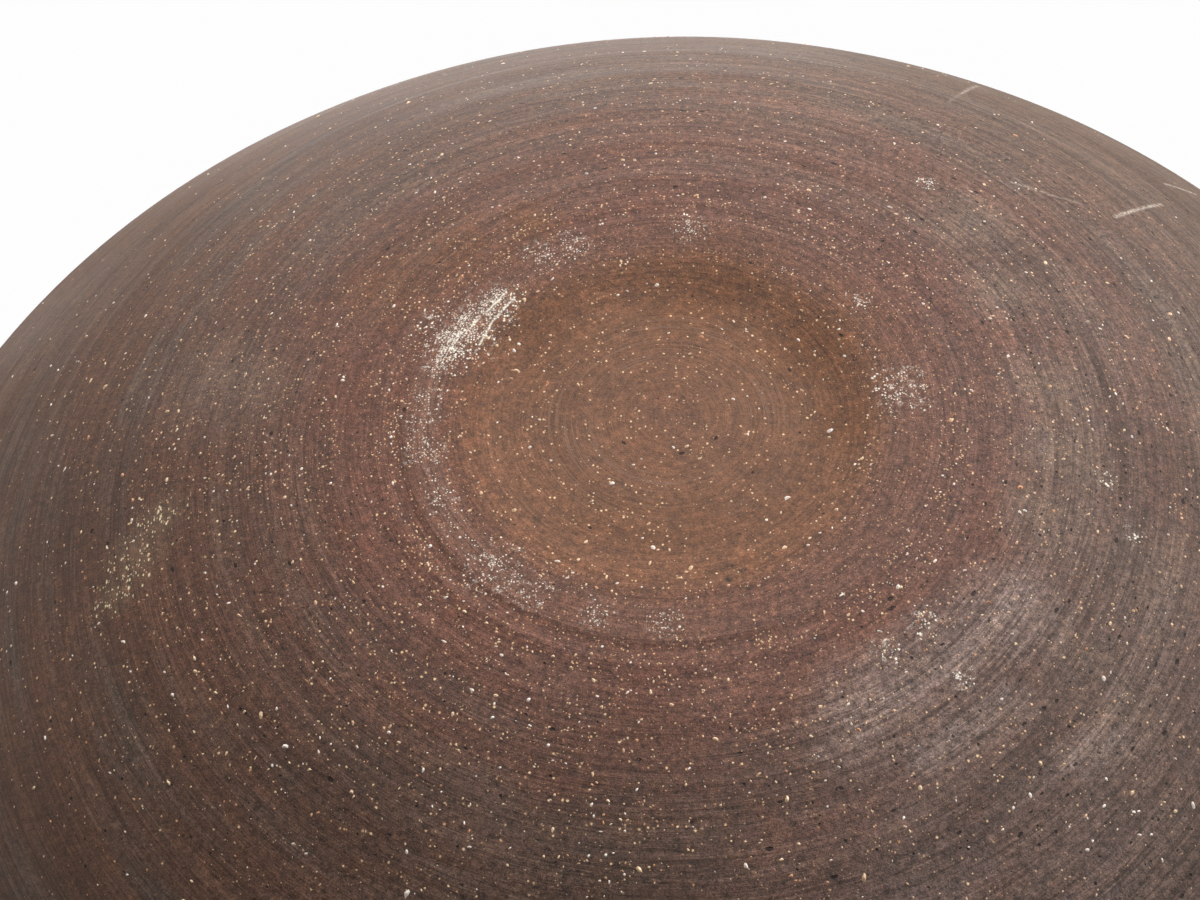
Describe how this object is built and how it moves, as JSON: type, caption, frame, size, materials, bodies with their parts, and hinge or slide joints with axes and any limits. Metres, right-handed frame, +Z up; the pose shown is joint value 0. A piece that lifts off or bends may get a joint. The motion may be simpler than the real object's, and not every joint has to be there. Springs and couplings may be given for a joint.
{
  "type": "stoneware bowl",
  "caption": "Wide shallow round bowl of unglazed brown grogged stoneware, turned outside, on a low recessed foot, with a thin glaze coat inside; holds food or water.",
  "frame": {"origin": "middle of the foot, on the plane the bowl stands on", "axes": "+Z up along the axis the bowl was turned on, out of its open side; +X and +Y level, any way round, as the bowl is the same all round"},
  "size_m": [0.246, 0.246, 0.0465],
  "materials": {
    "stoneware": "matt, unglazed, with fine turning grooves and pale grains of grog",
    "glaze": "satin, thin, the clay's brown showing through"
  },
  "bodies": {
    "root": {"bowl_body": "stoneware", "interior_glaze": "glaze"}
  },
  "joints": []
}
